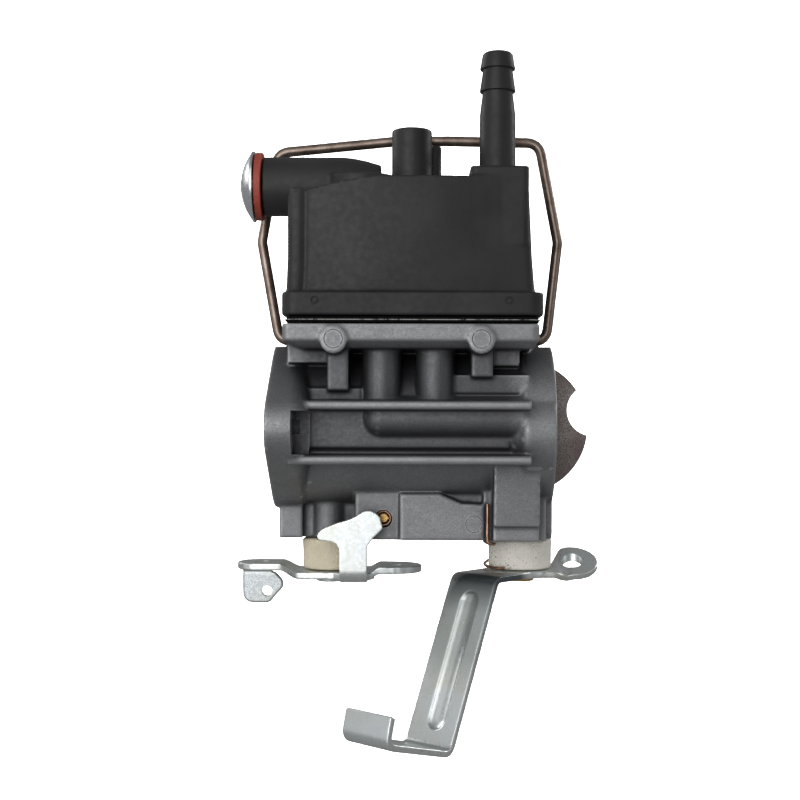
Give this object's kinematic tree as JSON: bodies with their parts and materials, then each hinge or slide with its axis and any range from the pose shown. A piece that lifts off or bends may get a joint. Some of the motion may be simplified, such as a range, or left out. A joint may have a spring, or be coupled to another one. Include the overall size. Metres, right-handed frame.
{
  "type": "float-bowl carburetor",
  "caption": "Small-engine float carburetor: cast body, black float bowl held by a wire bail, hose barb, plug, throttle and choke shafts with bent steel levers.",
  "frame": {"origin": "centre of the bore at the engine flange's face", "axes": "+X along the bore from the engine flange to the air inlet, +Y from the front to the back, +Z towards the float bowl"},
  "size_m": [0.0838, 0.0712, 0.1539],
  "materials": {
    "cast_metal": "cast, bead blasted, satin",
    "black_plastic": "moulded, fine grain",
    "zinc_plate": "bright zinc plating",
    "chrome": "polished",
    "brass": "turned",
    "copper_wire": "drawn wire",
    "spring_steel": "tempered wire, brown tint",
    "tinted_steel": "speckled brown-grey coating",
    "foam": "open-cell foam, speckled",
    "rubber": "moulded",
    "red_fibre": "pressed fibre",
    "float_plastic": "foamed plastic"
  },
  "bodies": {
    "root": {"throttle_body": "cast_metal", "idle_passage_cup_plug": "zinc_plate", "float_bowl": "black_plastic", "bowl_gasket": "rubber", "bowl_plug_screw": "chrome", "plug_sealing_washer": "red_fibre", "main_nozzle": "brass", "main_jet": "brass", "pilot_jet": "brass", "needle_seat": "brass", "float_hinge_pin": "zinc_plate", "throttle_foam_seal": "foam", "choke_foam_seal": "foam", "choke_detent_spring": "copper_wire", "idle_screw_spring": "copper_wire"},
    "throttle": {"throttle_shaft": "zinc_plate", "throttle_plate": "brass", "throttle_plate_screw": "zinc_plate", "throttle_lever": "zinc_plate"},
    "choke": {"choke_shaft": "brass", "choke_plate": "tinted_steel", "choke_plate_screw": "zinc_plate", "choke_lever": "zinc_plate"},
    "bail": {"bail_wire": "spring_steel"},
    "float_arm": {"float": "float_plastic"},
    "needle": {"inlet_needle": "brass"},
    "idle_screw": {"idle_mixture_screw": "brass"}
  },
  "joints": [
    {"name": "throttle_turn", "type": "hinge", "parent": "root", "child": "throttle", "pos_m": [0.0127, 0, 0], "axis": [0, 0, -1], "range_deg": [0, 70]},
    {"name": "choke_turn", "type": "hinge", "parent": "root", "child": "choke", "pos_m": [0.057, 0, 0], "axis": [0, 0, 1], "range_deg": [0, 80]},
    {"name": "bail_swing", "type": "hinge", "parent": "root", "child": "bail", "pos_m": [0.03, 0.0035, 0.0202], "axis": [-1, 0, 0], "range_deg": [0, 85]},
    {"name": "float_lift", "type": "hinge", "parent": "root", "child": "float_arm", "pos_m": [0.053, 0, 0.031], "axis": [0, 1, 0], "range_deg": [0, 8]},
    {"name": "needle_slide", "type": "slide", "parent": "root", "child": "needle", "axis": [0, 0, 1], "range_m": [0, 0.0009]},
    {"name": "idle_screw_turn", "type": "hinge", "parent": "root", "child": "idle_screw", "pos_m": [0.0252, -0.006, -0.0208], "axis": [0, -1, 0], "continuous": true}
  ],
  "couplings": [
    {"joint": "needle_slide", "follows": "float_lift", "m_per_rad": 0.0064}
  ]
}
